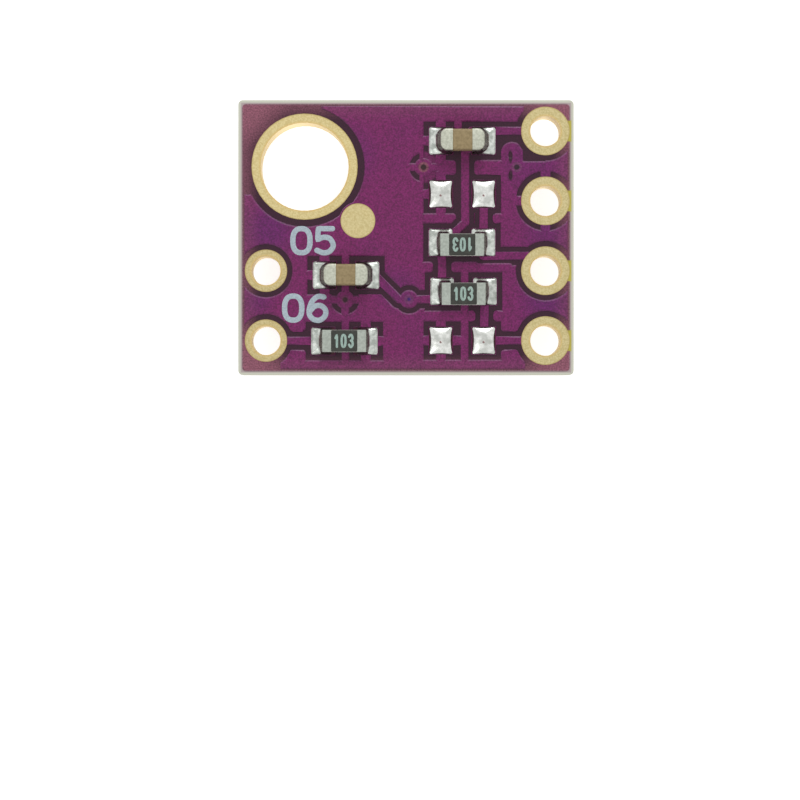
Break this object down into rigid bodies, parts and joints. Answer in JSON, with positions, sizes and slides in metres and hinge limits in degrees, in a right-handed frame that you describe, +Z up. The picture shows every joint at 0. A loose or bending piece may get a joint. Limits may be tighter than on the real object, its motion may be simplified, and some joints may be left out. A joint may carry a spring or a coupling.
{
  "type": "humidity sensor module",
  "caption": "Small purple circuit board with a mounting hole, plated connection holes along two edges, chip parts on one side and a square humidity sensor on the other.",
  "frame": {"origin": "under the middle of the board, at the height of the sensor's outer face, on which the module rests", "axes": "+Z up through the board towards its chip parts; +X along the long edge towards the row of four connection holes; +Y towards the edge beside the mounting hole"},
  "size_m": [0.0122, 0.01, 0.0034],
  "materials": {
    "laminate": "pale woven-glass laminate with a routed edge",
    "copper": "bare copper under the mask",
    "solder_mask": "purple solder mask, satin",
    "gold": "pale matt gold plating",
    "solder": "bright tin solder",
    "end_metal": "dull tinned metal ends",
    "capacitor_ceramic": "tan fired ceramic",
    "white_ceramic": "white alumina",
    "black_coating": "black glassy coating",
    "package": "black moulded package",
    "silicon": "smooth grey-blue die",
    "contact_metal": "tinned contacts"
  },
  "bodies": {
    "root": {"laminate": "laminate", "front_copper": "copper", "back_copper": "copper", "front_solder_mask": "solder_mask", "back_solder_mask": "solder_mask", "fixing_hole_plating": "gold", "round_pad_gold": "gold", "sensor_package": "package", "sensor_die": "silicon", "sensor_contacts": "contact_metal", "sensor_solder": "solder", "pin_hole_plating_1": "gold", "via_plating_1": "copper", "spare_land_solder_1": "solder", "pin_hole_plating_2": "gold", "via_plating_2": "copper", "spare_land_solder_2": "solder", "pin_hole_plating_3": "gold", "via_plating_3": "copper", "spare_land_solder_3": "solder", "pin_hole_plating_4": "gold", "via_plating_4": "copper", "spare_land_solder_4": "solder", "option_hole_plating_1": "gold", "capacitor_1_ceramic": "capacitor_ceramic", "capacitor_1_ends": "end_metal", "capacitor_1_solder": "solder", "option_hole_plating_2": "gold", "capacitor_2_ceramic": "capacitor_ceramic", "capacitor_2_ends": "end_metal", "capacitor_2_solder": "solder", "resistor_1_substrate": "white_ceramic", "resistor_1_coating": "black_coating", "resistor_1_ends": "end_metal", "resistor_1_solder": "solder", "resistor_2_substrate": "white_ceramic", "resistor_2_coating": "black_coating", "resistor_2_ends": "end_metal", "resistor_2_solder": "solder", "resistor_3_substrate": "white_ceramic", "resistor_3_coating": "black_coating", "resistor_3_ends": "end_metal", "resistor_3_solder": "solder"}
  },
  "joints": []
}
